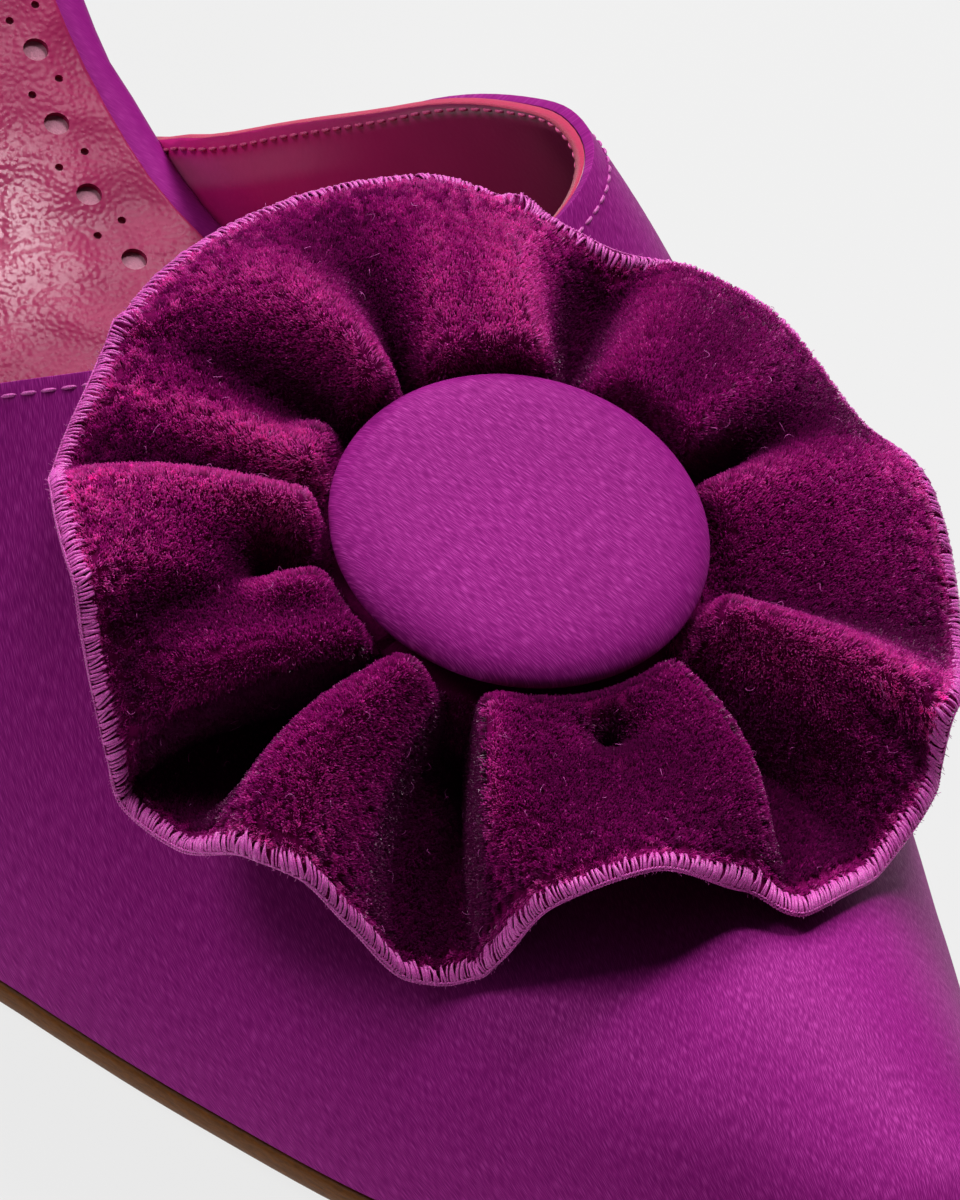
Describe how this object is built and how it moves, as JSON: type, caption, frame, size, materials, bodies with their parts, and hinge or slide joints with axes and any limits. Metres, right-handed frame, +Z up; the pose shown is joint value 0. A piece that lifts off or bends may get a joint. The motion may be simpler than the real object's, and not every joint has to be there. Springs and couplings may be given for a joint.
{
  "type": "slingback pump",
  "caption": "Right-foot slingback pump in purple satin with a low-cut vamp, gathered velvet rosette, covered button, leather sock and slender heel.",
  "frame": {"origin": "on the floor under the ball of the foot, on the flat tread of the outsole", "axes": "+X to the toe, +Z up, -Y to the outer side of the right foot"},
  "size_m": [0.2463, 0.0717, 0.1017],
  "materials": {
    "satin": "purple satin with a soft sheen",
    "velvet": "plum velvet with an overlocked edge",
    "sock_leather": "glazed raspberry leather, punched",
    "sole_leather": "brown leather with a trimmed edge",
    "tip_rubber": "plain dark heel tip"
  },
  "bodies": {
    "root": {"outsole": "sole_leather", "insole_board": "satin", "sock_lining": "sock_leather", "upper": "satin", "heel": "satin", "heel_tip": "tip_rubber", "ruffle": "velvet", "covered_button": "satin", "sling_strap": "satin"}
  },
  "joints": []
}
